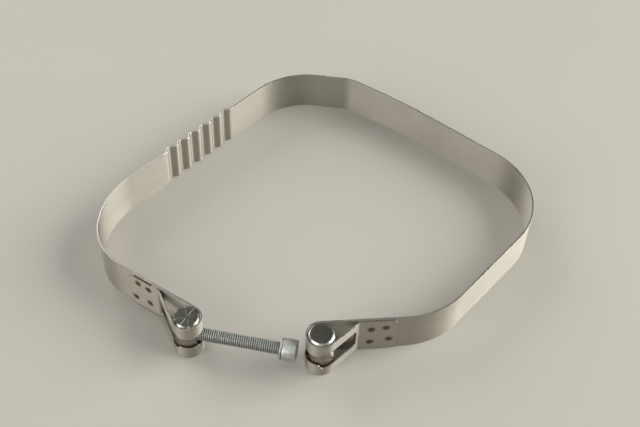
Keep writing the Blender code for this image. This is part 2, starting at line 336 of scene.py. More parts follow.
def line_points(start, end, step):
    """Evenly spaced points from the start to the end, at most a step apart."""
    count = max(1, ceil((end - start).length / step))
    return [start.lerp(end, i / count) for i in range(count + 1)]


def trunnion_at(end):
    """The plan point of a trunnion's axis."""
    low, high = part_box(end.trunnion)
    return ((low + high) / 2).xy


class EndLines:
    """A folded end's driving points, worked out from its trunnion's place and its band's corner."""

    def __init__(self, end):
        self.end = end
        self.centre = trunnion_at(end)
        self.inner_angle = self.touch_angle(end.corner, end.turn)
        self.inner_touch = self.centre + end.loop_radius * unit(self.inner_angle)
        self.along = (end.corner - self.inner_touch).normalized()
        self.outward = turned_left(self.along) * -end.turn
        inner_fold = self.inner_touch + self.along * end.leg_length
        self.fold = inner_fold + self.outward * (STRAP_THICKNESS + LAP_GAP)
        self.outer_angle = self.touch_angle(self.fold, -end.turn)
        if (self.inner_angle - self.outer_angle) * end.turn > 0:
            self.outer_angle += tau * end.turn
        self.outer_touch = self.centre + end.loop_radius * unit(self.outer_angle)

    def touch_angle(self, point, side):
        """Where a line from the point touches the loop, as an angle about the trunnion."""
        away = point - self.centre
        return angle_of(away) + side * acos(self.end.loop_radius / away.length)

    def weld_centre(self, distance, rise):
        """The middle of a spot weld, half way through the two layers."""
        face = self.fold + self.outward * STRAP_THICKNESS / 2 + self.along * distance * MM
        plan = face - self.outward * (STRAP_THICKNESS + LAP_GAP / 2)
        return Vector((plan.x, plan.y, MIDDLE_HEIGHT + rise * MM))


def window_height(distance, length, step_at):
    """The window's height at a distance along it: wide on the leg and narrow on the loop, with
    rounded corners."""
    share = smooth(step_at - WINDOW_STEP_LENGTH / 2, step_at + WINDOW_STEP_LENGTH / 2, distance)
    height = WINDOW_WIDE + (WINDOW_NARROW - WINDOW_WIDE) * share
    from_end = min(distance, length - distance)
    if from_end < WINDOW_CORNER:
        short = WINDOW_CORNER - sqrt(WINDOW_CORNER**2 - (WINDOW_CORNER - from_end) ** 2)
        height -= 2 * short
    return height


def window_stations(lines):
    """From the window's start on the outer leg, round the loop, to its end before the inner leg."""
    end = lines.end
    radius = end.loop_radius
    leg = lines.outer_touch - lines.fold
    start = lines.fold + leg.normalized() * WINDOW_FROM_FOLD
    leg_left = (lines.outer_touch - start).length
    sweep = abs(lines.inner_angle - lines.outer_angle) - WINDOW_FROM_LEG
    length = leg_left + sweep * radius
    step_at = leg_left + end.step_from_leg * radius
    corner_shares = (0.0, 0.04, 0.14, 0.3, 0.55, 1.0)
    places = [WINDOW_CORNER * share for share in corner_shares]
    middle = length - 2 * WINDOW_CORNER
    count = ceil(middle / (radius * ARC_STEP))
    places += [WINDOW_CORNER + middle * i / count for i in range(1, count)]
    places += [length - WINDOW_CORNER * share for share in reversed(corner_shares)]
    stations = []
    for place in places:
        if place < leg_left:
            at = start + leg.normalized() * place
            trim = PAD_TRIM * (1 - place / leg_left)
        else:
            angle = lines.outer_angle - end.turn * (place - leg_left) / radius
            at = lines.centre + radius * unit(angle)
            trim = 0
        stations.append(Station(at, window_height(place, length, step_at), trim))
    return stations


def end_stations(lines):
    """The folded end, from the pad's free edge to where the band leaves its welded stretch."""
    end = lines.end
    pad_end = lines.fold + lines.along * end.pad_length
    chamfer_end = pad_end - lines.along * PAD_CHAMFER
    stations = [Station(pad_end, 0, PAD_TRIM + PAD_CHAMFER)]
    for share in (0.12, 0.5, 0.88):
        trim = PAD_TRIM + PAD_CHAMFER * (1 - share)
        stations.append(Station(pad_end.lerp(chamfer_end, share), 0, trim))
    bend = fillet(pad_end, lines.fold, lines.outer_touch, FOLD_RADIUS)
    for point in line_points(chamfer_end, bend[0], FINE_STEP)[:-1] + bend:
        stations.append(Station(point, 0, PAD_TRIM))
    stations += window_stations(lines)
    last_angle = lines.inner_angle + end.turn * WINDOW_FROM_LEG
    loop_end = arc(lines.centre, end.loop_radius, last_angle, lines.inner_angle)
    stations += [Station(point, 0, 0) for point in loop_end[1:]]
    welded = lines.inner_touch + lines.along * end.leg_length
    past_pad = welded + lines.along * (end.pad_length + FINE_STEP)
    stations += [Station(point, 0, 0) for point in line_points(welded, past_pad, FINE_STEP)]
    return stations


def corner_stations(corners, before, after):
    """The band's rounded corners between two neighbouring points."""
    places = [before] + [corner for corner, _ in corners] + [after]
    stations = []
    for i, (corner, radius) in enumerate(corners):
        points = fillet(places[i], corner, places[i + 2], radius)
        stations += [Station(point, 0, 0) for point in points]
    return stations


def wave_line():
    """The middle of the waves, the way that they run, and the side that they rise to."""
    last_before = BAND_CORNERS[CORNERS_BEFORE_WAVES - 1][0]
    first_after = BAND_CORNERS[CORNERS_BEFORE_WAVES][0]
    way = (first_after - last_before).normalized()
    return first_after - way * WAVES_FROM_CORNER, way, -turned_left(way)


def wave_ends():
    """The plan points, a little way off the waves, where the wave piece meets the two arms."""
    middle, way, _ = wave_line()
    reach = WAVE_COUNT * WAVE_PITCH / 2 + WAVE_MARGIN
    return middle - way * reach, middle + way * reach


def wave_profile(share):
    """How far along and how high a point is, a share of one wave on from its valley. A wave is
    four equal arcs."""
    climb = 2 * min(share, 1 - share)
    turned = 2 * min(climb, 1 - climb) * WAVE_BEND
    along = WAVE_RADIUS * sin(turned)
    rise = WAVE_RADIUS * (1 - cos(turned))
    if climb > 0.5:
        along = WAVE_PITCH / 2 - along
        rise = 2 * WAVE_RADIUS * (1 - cos(WAVE_BEND)) - rise
    if share > 0.5:
        along = WAVE_PITCH - along
    return along, rise


def wave_stations():
    """The waves, from a little way before the first to a little way past the last."""
    middle, way, outward = wave_line()
    first, last = wave_ends()
    stations = [Station(first, 0, 0)]
    for i in range(WAVE_COUNT * WAVE_STEPS + 1):
        along, rise = wave_profile(i % WAVE_STEPS / WAVE_STEPS)
        along += (i // WAVE_STEPS - WAVE_COUNT / 2) * WAVE_PITCH
        stations.append(Station(middle + way * along + outward * rise, 0, 0))
    stations.append(Station(last, 0, 0))
    return stations


# Meshes.


def object_of(name, mesh, materials):
    data = bpy.data.meshes.new(name)
    mesh.to_mesh(data)
    mesh.free()
    for material in materials:
        data.materials.append(material)
    thing = bpy.data.objects.new(name, data)
    bpy.context.scene.collection.objects.link(thing)
    return thing


def shade(thing, sharp_angle=SHARP_ANGLE):
    """Smooth shading, with edges that bend by more than the angle kept sharp."""
    mesh = bmesh.new()
    mesh.from_mesh(thing.data)
    for face in mesh.faces:
        face.smooth = True
    for edge in mesh.edges:
        edge.smooth = len(edge.link_faces) == 2 and edge.calc_face_angle() < sharp_angle
    mesh.to_mesh(thing.data)
    mesh.free()


def apply_modifiers(thing):
    """Makes what the modifiers show the object's own mesh."""
    graph = bpy.context.evaluated_depsgraph_get()
    made = bpy.data.meshes.new_from_object(thing.evaluated_get(graph))
    thing.modifiers.clear()
    old = thing.data
    thing.data = made
    bpy.data.meshes.remove(old)


def strap_levels(station):
    """The heights of the rows of points at one place: below the window, across it and above it."""
    half = (station.window or WINDOW_NARROW) / 2
    bottom, top = station.trim, STRAP_WIDTH - station.trim
    sill, head = MIDDLE_HEIGHT - half, MIDDLE_HEIGHT + half
    levels = [bottom + (sill - bottom) * i / SILL_ROWS for i in range(SILL_ROWS)]
    levels += [sill + (head - sill) * i / WINDOW_ROWS for i in range(WINDOW_ROWS)]
    return levels + [head + (top - head) * i / SILL_ROWS for i in range(SILL_ROWS + 1)]


def strap_sheet(name, stations, run, materials):
    """A sheet along the stations, left open where the window is. Its UV map is metres along and up
    the strip, and it starts at the given run along the strip and returns the run at its end."""
    mesh = bmesh.new()
    uv = mesh.loops.layers.uv.new("strip")
    columns, runs = [], []
    for i, station in enumerate(stations):
        if i:
            run += (station.at - stations[i - 1].at).length
        runs.append(run)
        columns.append([mesh.verts.new((*station.at, level)) for level in strap_levels(station)])
    for i in range(len(stations) - 1):
        is_open = stations[i].window and stations[i + 1].window
        for level in range(len(columns[i]) - 1):
            if is_open and SILL_ROWS <= level < SILL_ROWS + WINDOW_ROWS:
                continue
            near, far = columns[i], columns[i + 1]
            face = mesh.faces.new((near[level], far[level], far[level + 1], near[level + 1]))
            for loop, along in zip(face.loops, (runs[i], runs[i + 1], runs[i + 1], runs[i])):
                loop[uv].uv = (along, loop.vert.co.z)
    bmesh.ops.remove_doubles(mesh, verts=mesh.verts, dist=SHEET_MERGE)
    return object_of(name, mesh, materials), run


def thicken(sheet):
    """Gives a sheet the strap's gauge, half to each side, and its rim the cut edges' material."""
    solidify = sheet.modifiers.new("gauge", "SOLIDIFY")
    solidify.thickness = STRAP_THICKNESS
    solidify.offset = 0
    solidify.use_even_offset = True
    solidify.material_offset_rim = 1
    apply_modifiers(sheet)


def press_welds(strap, lines):
    """Presses the dimples and writes each point's scorch and painted shade as an attribute that the
    material reads.
    A piece of strap with no folded end has no lines, and stays clean."""
    scorch_and_shade = strap.data.attributes.new("scorch_and_shade", "FLOAT", "POINT")
    if lines is None:
        return
    outward = lines.outward.to_3d()
    half = STRAP_THICKNESS + LAP_GAP / 2
    centres = [lines.weld_centre(*weld) for weld in lines.end.welds]
    for vertex in strap.data.vertices:
        stain_and_shade = pad_stain_and_shade(vertex.co, lines)
        for centre in centres:
            away = vertex.co - centre
            height = away.dot(outward)
            radius = (away - outward * height).length
            if radius > HAZE_RADIUS or abs(height) > HEAT_THROUGH * half:
                continue
            haze = HAZE * (1 - smooth(HEAT_RADIUS, HAZE_RADIUS, radius))
            stain_and_shade = max(stain_and_shade, haze, 1 - smooth(HEAT_CORE, HEAT_RADIUS, radius))
            if abs(abs(height) - half) < FACE_TOLERANCE:
                press = DIMPLE_DEPTH * (1 - smooth(DIMPLE_FLAT, DIMPLE_RADIUS, radius))
                vertex.co -= outward * press * (1 if height > 0 else -1)
        scorch_and_shade.data[vertex.index].value = stain_and_shade


def pad_stain_and_shade(point, lines):
    """The scorch and painted shade at a point of the strap besides its welds' heat: painted shade low
    inside the loop and in the pocket between the two legs, a dark line at the pad's free end that is
    partly a brown stain and partly a painted contact shadow, and rust on the pad's top rim. Heights
    are out from the middle of the pad's outer layer."""
    # Painted shade low on the loop's inner face round the trunnion.
    if (point.xy - lines.centre).length < lines.end.loop_radius - STRAP_THICKNESS / 4:
        return LOOP_PAINTED_SHADE * (1 - smooth(-LOOP_PAINTED_SHADE_FADE, LOOP_PAINTED_SHADE_FADE, point.z - MIDDLE_HEIGHT))
    away = point.xy - lines.fold
    height = away.dot(lines.outward)
    distance = away.dot(lines.along)
    lap_middle = -(STRAP_THICKNESS + LAP_GAP) / 2
    if height < -STRAP_THICKNESS:
        return 0
    # Painted shade on the inner leg in the pocket between the legs, deepest at the fold.
    if height < lap_middle:
        return POCKET_PAINTED_SHADE * smooth(-lines.end.leg_length, 0, distance) * (distance < 0)
    # A dark line at the pad's free end: partly a brown stain, partly a painted contact shadow.
    past_end = distance - lines.end.pad_length
    stain_and_shade = PAD_END_STAIN_AND_SHADOW * smooth(-PAD_END_STAIN_AND_SHADOW_LENGTH, 0, past_end)
    if lines.end.rust:
        start, stop = lines.end.rust
        along = smooth(start - RUST_FADE, start, distance)
        along *= 1 - smooth(stop, stop + RUST_FADE, distance)
        below_rim = STRAP_WIDTH - PAD_TRIM - point.z
        stain_and_shade = max(stain_and_shade, RUST * along * (1 - smooth(0, RUST_DEPTH, below_rim)))
    return stain_and_shade


def round_edges(strap, seams):
    """Rounds the strip's cut edges, but not where a seam joins it to the next piece of strip. A
    seam is a plan point and the way that the strip runs there."""
    mesh = bmesh.new()
    mesh.from_mesh(strap.data)
    weight = mesh.edges.layers.float.new("bevel_weight_edge")
    for edge in mesh.edges:
        middle = ((edge.verts[0].co + edge.verts[1].co) / 2).xy
        at_seam = any(
            abs((middle - at).dot(way)) < SEAM_TOLERANCE and (middle - at).length < SEAM_REACH
            for at, way in seams
        )
        if edge.calc_face_angle(0) > SHARP_ANGLE and not at_seam:
            edge[weight] = 1
    mesh.to_mesh(strap.data)
    mesh.free()
    bevel = strap.modifiers.new("rounded_edges", "BEVEL")
    bevel.limit_method = "WEIGHT"
    bevel.width = EDGE_BEVEL
    bevel.segments = EDGE_SEGMENTS
    bevel.use_clamp_overlap = True
    bevel.material = 1
    apply_modifiers(strap)


def strap_piece(name, stations, run, seams, lines, materials):
    """A finished length of strap, and the run along the strip at its end."""
    piece, run = strap_sheet(name, stations, run, materials)
    thicken(piece)
    press_welds(piece, lines)
    round_edges(piece, seams)
    shade(piece)
    return piece, run


def turned_mesh(rings, steps):
    """A mesh of rings about local Z. A ring is (radius, height), where a radius of 0 is a point on
    the axis and both may be functions of the angle."""
    mesh = bmesh.new()
    made = []
    for radius, height in rings:
        if radius == 0:
            made.append([mesh.verts.new((0, 0, height))])
            continue
        ring = []
        for i in range(steps):
            angle = tau * i / steps
            r = radius(angle) if callable(radius) else radius
            z = height(angle) if callable(height) else height
            ring.append(mesh.verts.new((r * cos(angle), r * sin(angle), z)))
        made.append(ring)
    pairs = list(zip(made, made[1:]))
    if len(made[0]) > 1:
        pairs.append((made[-1], made[0]))
    for lower, upper in pairs:
        for i in range(steps):
            j = (i + 1) % steps
            near, far = lower[i % len(lower)], lower[j % len(lower)]
            far_above, near_above = upper[j % len(upper)], upper[i % len(upper)]
            mesh.faces.new(tuple(dict.fromkeys((near, far, far_above, near_above))))
    bmesh.ops.recalc_face_normals(mesh, faces=mesh.faces)
    return mesh


def pointing(direction):
    """The turn that brings local Z to the direction."""
    return direction.to_track_quat("Z", "Y").to_matrix().to_4x4()


def drill(body, radius, direction, height):
    """A cross hole through a trunnion at a height, with a small chamfer at both mouths."""
    reach = body.dimensions.x
    half = reach / 2
    mouth = sqrt(half**2 - radius**2)
    rings = (
        (0, -reach),
        (radius + BORE_CHAMFER + reach - mouth, -reach),
        (radius, -mouth + BORE_CHAMFER),
        (radius, mouth - BORE_CHAMFER),
        (radius + BORE_CHAMFER + reach - mouth, reach),
        (0, reach),
    )
    cutter = object_of("bore", turned_mesh(rings, BORE_STEPS), [])
    place = Matrix.Translation(body.location + Vector((0, 0, height)))
    cutter.matrix_world = place @ pointing(direction)
    boolean = body.modifiers.new("bore", "BOOLEAN")
    boolean.operation = "DIFFERENCE"
    boolean.solver = "EXACT"
    boolean.object = cutter
    bpy.context.view_layer.update()
    apply_modifiers(body)
    bpy.data.objects.remove(cutter, do_unlink=True)


# Materials. Noise scales are per metre of the object, or per metre of the strip's UV map. A noise
# lies nearly always between NOISE_LOW and NOISE_HIGH.

NOISE_LOW = 0.3
NOISE_HIGH = 0.7

# The Mix node has a set of sockets for each kind of data. These are the ones for colours.
MIX_FACTOR = 0
MIX_COLOUR_A = 6
MIX_COLOUR_B = 7
MIX_COLOUR_RESULT = 2


def with_alpha(colour):
    """A colour socket as it is, or an RGB constant made opaque."""
    return colour if isinstance(colour, bpy.types.NodeSocket) else (*colour, 1)


class Shader:
    """A material and a short way to add nodes to it. An input is given a socket, which is linked to
    it, or a constant value."""

    def __init__(self, name):
        self.material = bpy.data.materials.new(name)
        self.material.use_nodes = True
        self.tree = self.material.node_tree
        self.principled = self.tree.nodes["Principled BSDF"]

    def give(self, socket, value):
        if isinstance(value, bpy.types.NodeSocket):
            self.tree.links.new(value, socket)
        else:
            socket.default_value = value

    def set(self, name, value):
        self.give(self.principled.inputs[name], value)

    def node(self, kind, inputs=None, **settings):
        made = self.tree.nodes.new(kind)
        for name, value in settings.items():
            setattr(made, name, value)
        for name, value in (inputs or {}).items():
            self.give(made.inputs[name], value)
        return made

    def scaled(self, vector, scale):
        return self.node("ShaderNodeMapping", {"Vector": vector, "Scale": scale}).outputs["Vector"]

    def noise(self, vector, scale=1.0, detail=4.0, roughness=0.55):
        inputs = {"Vector": vector, "Scale": scale, "Detail": detail, "Roughness": roughness}
        return self.node("ShaderNodeTexNoise", inputs).outputs["Fac"]

    def ranged(self, value, low, high, to_low, to_high):
        inputs = {"Value": value, "From Min": low, "From Max": high}
        inputs.update({"To Min": to_low, "To Max": to_high})
        return self.node("ShaderNodeMapRange", inputs).outputs["Result"]

    def math(self, operation, a, b):
        return self.node("ShaderNodeMath", {0: a, 1: b}, operation=operation).outputs[0]

    def added(self, a, b):
        return self.math("ADD", a, b)

    def times(self, a, b):
        return self.math("MULTIPLY", a, b)

    def mixed(self, share, a, b):
        """The colour a, turning into the colour b as the share goes from 0 to 1."""
        made = self.node("ShaderNodeMix", data_type="RGBA")
        self.give(made.inputs[MIX_FACTOR], share)
        self.give(made.inputs[MIX_COLOUR_A], with_alpha(a))
        self.give(made.inputs[MIX_COLOUR_B], with_alpha(b))
        return made.outputs[MIX_COLOUR_RESULT]

    def mottled(self, value, low, high, finish):
        """The finish's dark tone up to the low value, and its light tone from the high value."""
        return self.mixed(self.ranged(value, low, high, 0, 1), finish.dark, finish.light)

    def roughened(self, noise, finish, low_change, high_change):
        """The finish's roughness, changed by one amount where the noise is low and by the other
        where it is high."""
        at_low, at_high = finish.roughness + low_change, finish.roughness + high_change
        return self.ranged(noise, NOISE_LOW, NOISE_HIGH, at_low, at_high)

    def coloured(self, value, stops):
        made = self.node("ShaderNodeValToRGB", {"Fac": value})
        elements = made.color_ramp.elements
        while len(elements) < len(stops):
            elements.new(0.5)
        for element, (position, colour) in zip(elements, stops):
            element.position = position
            element.color = (*colour, 1)
        return made.outputs["Color"]

    def bumped(self, height, strength, distance):
        inputs = {"Height": height, "Strength": strength, "Distance": distance}
        self.set("Normal", self.node("ShaderNodeBump", inputs).outputs["Normal"])


def strap_steel(finish):
    """Rolled stainless strip: fine streaks along its length, soft clouds, and brown scorch and
    painted shade.
    """
    shader = Shader(finish.name)
    strip = shader.node("ShaderNodeUVMap", uv_map="strip").outputs["UV"]
    place = shader.node("ShaderNodeTexCoord").outputs["Object"]
    streaks = shader.noise(shader.scaled(strip, (30, 2600, 1)), detail=4)
    grain = shader.noise(shader.scaled(strip, (900, 4200, 1)), detail=3)
    clouds = shader.noise(place, 38, 4)
    tone = shader.added(shader.times(streaks, 0.55), shader.times(clouds, 0.45))
    plain = shader.mottled(tone, 0.38, 0.62, finish)
    # The scorch attribute holds heat tint and rust, and painted shade in the loop, in the pocket and
    # at the pad's free end.
    scorch_and_shade = shader.node("ShaderNodeAttribute", attribute_name="scorch_and_shade").outputs["Fac"]
    blotches = shader.noise(place, 650, 3)
    tint = shader.times(scorch_and_shade, shader.ranged(blotches, NOISE_LOW, NOISE_HIGH, 0.75, 1.2))
    burnt_and_shaded = shader.coloured(tint, ((0.0, finish.light), *SCORCH_AND_SHADE_BROWNS))
    share = shader.ranged(tint, 0.02, 0.62, 0, 1)
    shader.set("Base Color", shader.mixed(share, plain, burnt_and_shaded))
    shader.set("Metallic", shader.ranged(share, 0, 1, 1, 0.55))
    rough = shader.roughened(streaks, finish, -0.05, 0.06)
    shader.set("Roughness", shader.added(rough, shader.times(share, 0.15)))
    shader.set("Anisotropic", 0.8)
    shader.set("Anisotropic Rotation", 0.25)
    tangent = shader.node("ShaderNodeTangent", direction_type="UV_MAP", uv_map="strip")
    shader.set("Tangent", tangent.outputs["Tangent"])
    shader.bumped(shader.added(streaks, shader.times(grain, 0.5)), 0.12, 0.03 * MM)
    return shader.material


def edge_steel(finish):
    """The strip's slit and rounded edge: even and satin, lighter than the faces as a painted
    highlight, and brown where it is scorched or carries painted shade.
    """
    shader = Shader(finish.name)
    place = shader.node("ShaderNodeTexCoord").outputs["Object"]
    clouds = shader.noise(place, 90, 4)
    plain = shader.mottled(clouds, 0.36, 0.64, finish)
    # The scorch attribute holds painted shade as well as heat tint and rust.
    scorch_and_shade = shader.node("ShaderNodeAttribute", attribute_name="scorch_and_shade").outputs["Fac"]
    share = shader.ranged(scorch_and_shade, 0.15, 0.45, 0, 0.85)
    shader.set("Base Color", shader.mixed(share, plain, EDGE_SCORCH_AND_SHADE))
    shader.set("Metallic", 1.0)
    shader.set("Roughness", shader.roughened(clouds, finish, -0.04, 0.05))
    return shader.material


def turned_steel(finish):
    """Lathe-turned steel: rings about local Z on the barrel and on the end faces."""
    shader = Shader(finish.name)
    place = shader.node("ShaderNodeTexCoord").outputs["Object"]
    parts = shader.node("ShaderNodeSeparateXYZ", {"Vector": place}).outputs
    flat = shader.node("ShaderNodeCombineXYZ", {"X": parts["X"], "Y": parts["Y"]}).outputs["Vector"]
    radius = shader.node("ShaderNodeVectorMath", {0: flat}, operation="LENGTH").outputs["Value"]
    lathe = shader.node("ShaderNodeCombineXYZ", {"X": radius, "Z": parts["Z"]}).outputs["Vector"]
    rings = shader.noise(lathe, 2600, 5, 0.6)
    bands = shader.noise(lathe, 420, 3)
    clouds = shader.noise(place, 160, 4)
    tone = shader.added(shader.times(bands, 0.35), shader.times(clouds, 0.65))
    shader.set("Base Color", shader.mottled(tone, 0.36, 0.64, finish))
    shader.set("Metallic", 1.0)
    shader.set("Roughness", shader.roughened(rings, finish, -0.05, 0.08))
    shader.bumped(shader.added(rings, bands), 0.1, 0.03 * MM)
    return shader.material


def zinc(finish):
    """Zinc plating: a soft mottled silver grey with a fine grain, and painted shade in the thread's
    roots, in the socket and on the tip's end."""
    shader = Shader(finish.name)
    place = shader.node("ShaderNodeTexCoord").outputs["Object"]
    mottle = shader.noise(place, 330, 5, 0.62)
    grain = shader.noise(place, 2400, 3)
    clean = shader.mottled(mottle, 0.36, 0.64, finish)
    flatten = shader.node("ShaderNodeVectorMath", {0: place, 1: (1, 1, 0)}, operation="MULTIPLY")
    flat = flatten.outputs["Vector"]
    radius = shader.node("ShaderNodeVectorMath", {0: flat}, operation="LENGTH").outputs["Value"]
    # Painted shade: darker from near the thread's crest in to its root, and full nearer the axis, in
    # the socket and on the tip's end.
    root, near_crest = THREAD_OUTER - THREAD_DEPTH, THREAD_OUTER - THREAD_DEPTH / 4
    root_painted_shade = shader.ranged(radius, root, near_crest, 1, 0)
    shader.set("Base Color", shader.mixed(root_painted_shade, clean, THREAD_ROOT_PAINTED_SHADE))
    shader.set("Metallic", 1.0)
    shader.set("Roughness", shader.roughened(mottle, finish, 0.08, -0.05))
    shader.bumped(shader.added(grain, mottle), 0.08, 0.03 * MM)
    return shader.material


def weld_metal():
    """Melted and oxidised steel: dark brown with a few straw-coloured flecks."""
    shader = Shader("weld_nugget")
    place = shader.node("ShaderNodeTexCoord").outputs["Object"]
    flecks = shader.noise(place, 900, 5, 0.65)
    shader.set("Base Color", shader.coloured(flecks, WELD_BROWNS))
    shader.set("Metallic", 0.6)
    shader.set("Roughness", shader.ranged(flecks, NOISE_LOW, NOISE_HIGH, 0.45, 0.62))
    shader.bumped(flecks, 0.3, 0.04 * MM)
    return shader.material


def floor_paint():
    """A plain pale floor, very faintly clouded."""
    shader = Shader("pale_floor")
    place = shader.node("ShaderNodeTexCoord").outputs["Object"]
    clouds = shader.noise(place, 6, 3)
    shader.set("Base Color", shader.mixed(clouds, FLOOR_DARK, FLOOR_LIGHT))
    shader.set("Roughness", FLOOR_ROUGHNESS)
    return shader.material


# The object's pieces.


def build_straps(right, left, materials):
    """The two arms and the waves between them, from the right end round the back to the left end.
    The materials are the faces' and the cut edges'."""
    first, last = wave_ends()
    middle, way, _ = wave_line()
    before, after = BAND_CORNERS[:CORNERS_BEFORE_WAVES], BAND_CORNERS[CORNERS_BEFORE_WAVES:]
    stations = end_stations(right) + corner_stations(before, right.inner_touch, middle)
    stations.append(Station(first, 0, 0))
    long_arm, run = strap_piece("strap_long_arm", stations, 0, [(first, way)], right, materials)
    seams = [(first, way), (last, way)]
    waves, run = strap_piece("strap_waves", wave_stations(), run, seams, None, materials)
    stations = [Station(last, 0, 0)] + corner_stations(after, middle, left.inner_touch)
    stations += end_stations(left)[::-1]
    short_arm, _ = strap_piece("strap_short_arm", stations, run, [(last, way)], left, materials)
    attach(long_arm, "long_side")
    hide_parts("strap_long_side")
    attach(short_arm, "short_side")
    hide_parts("strap_short_side")
    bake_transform(waves)


def weld_nuggets(lines, material):
    """A nugget for each spot weld, through both layers, its ends just proud of the dimples."""
    half = STRAP_THICKNESS + LAP_GAP / 2
    for number, weld in enumerate(lines.end.welds, start=1):
        face = []
        for share in (0.0, 0.3, 0.6, 0.85, 1.0):
            radius = NUGGET_RADIUS * share
            press = DIMPLE_DEPTH * (1 - smooth(DIMPLE_FLAT, DIMPLE_RADIUS, radius))
            face.append((radius, half - press + NUGGET_CROWN * (1 - share**2)))
        rings = [(radius, -height) for radius, height in face] + face[::-1]
        name = f"weld_{lines.end.side}_{number}"
        nugget = object_of(name, turned_mesh(rings, NUGGET_STEPS), [material])
        shade(nugget)
        place = Matrix.Translation(lines.weld_centre(*weld))
        nugget.matrix_world = place @ pointing(lines.outward.to_3d())
        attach(nugget, lines.end.body)
        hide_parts(f"spot_weld_{lines.end.side}_{number}")


def off_ray(angle):
    """The angle between a place on the threaded trunnion's end and the nearest ray of its star."""
    ray = tau / STAR_RAYS
    return abs((angle - STAR_TURN + ray / 2) % ray - ray / 2)


def star_depth(radius, angle, dent_at):
    """How deep the star is cut at a place on the threaded trunnion's end, with a dent at each ray's
    end."""
    off = off_ray(angle)
    across = radius * sin(off)
    groove = STAR_DEPTH * (1 - smooth(0, STAR_HALF_WIDTH, across))
    groove *= smooth(STAR_START, STAR_FULL_DEPTH_FROM, radius)
    from_dent = sqrt((radius * cos(off) - dent_at) ** 2 + across**2)
    return max(groove, STAR_DENT_DEPTH * (1 - smooth(0, STAR_DENT_RADIUS, from_dent)))


def starred_rings(radius, height):
    """The rings of a starred end: up its chamfer, then in towards its middle."""
    dent_at = radius - TRUNNION_CHAMFER / 2

    def dipped(ring_radius, ring_height):
        return lambda angle: ring_height - star_depth(ring_radius, angle, dent_at)

    rings = []
    for i in range(1, STAR_CHAMFER_ROWS + 1):
        r = radius - TRUNNION_CHAMFER * i / STAR_CHAMFER_ROWS
        z = height - TRUNNION_CHAMFER * (1 - i / STAR_CHAMFER_ROWS)
        rings.append((r, dipped(r, z)))
    for i in range(1, STAR_FACE_ROWS):
        r = (radius - TRUNNION_CHAMFER) * (1 - i / STAR_FACE_ROWS)
        rings.append((r, dipped(r, height)))
    return rings


def trunnion(name, bore_radius, direction, has_star, materials):
    """A trunnion with its cross hole. The materials are the barrel's, the end faces' (a painted
    shade) and the chamfers' (a painted highlight). On a starred one the chamfers have the painted
    highlight only at the rays' dents, and the end faces' painted shade elsewhere."""
    low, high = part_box(name)
    radius = (high.x - low.x) / 2
    height = high.z - low.z
    inner = radius - TRUNNION_CHAMFER
    upper = height - TRUNNION_CHAMFER
    softened = radius - CHAMFER_SOFTENING
    rings = [(0, 0), (inner, 0)]
    rings += [(softened, TRUNNION_CHAMFER - CHAMFER_SOFTENING), (radius, TRUNNION_CHAMFER)]
    for level in TURNED_LINES:
        rings.append((radius, level - TURNED_LINE_HALF_WIDTH))
        rings.append((radius - TURNED_LINE_DEPTH, level))
        rings.append((radius, level + TURNED_LINE_HALF_WIDTH))
    rings += [(radius, upper), (softened, upper + CHAMFER_SOFTENING)]
    rings += starred_rings(radius, height) if has_star else [(inner, height)]
    rings.append((0, height))
    steps = STAR_STEPS if has_star else ROUND_STEPS
    body = object_of(f"{name}_turned", turned_mesh(rings, steps), materials)
    # Painted shade on the end faces and a painted highlight on the chamfers. On a starred end only
    # the rays' dents get the painted highlight.
    for face in body.data.polygons:
        if abs(face.center.z - height / 2) > height / 2 - TRUNNION_CHAMFER:
            gets_painted_shade = face.center.xy.length < inner
            if has_star:
                gets_painted_shade = gets_painted_shade or off_ray(angle_of(face.center)) * radius > STAR_DENT_RADIUS
            face.material_index = 1 if gets_painted_shade else 2
    body.location = ((low.x + high.x) / 2, (low.y + high.y) / 2, low.z)
    drill(body, bore_radius, direction, MIDDLE_HEIGHT)
    shade(body, TRUNNION_SHARP_ANGLE)
    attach(body, name)
    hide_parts(name)


def thread_radius(height, phase):
    """The thread's radius at a place: a flat crest, two flanks and a flat root, fading out below
    the head. The phase is a share of one pitch."""
    away = abs(phase - 0.5) * 2
    depth = THREAD_DEPTH * smooth(THREAD_CREST, THREAD_CREST + 2 * THREAD_FLANK, away)
    depth *= smooth(0, THREAD_FADE, -height)
    return THREAD_OUTER - depth


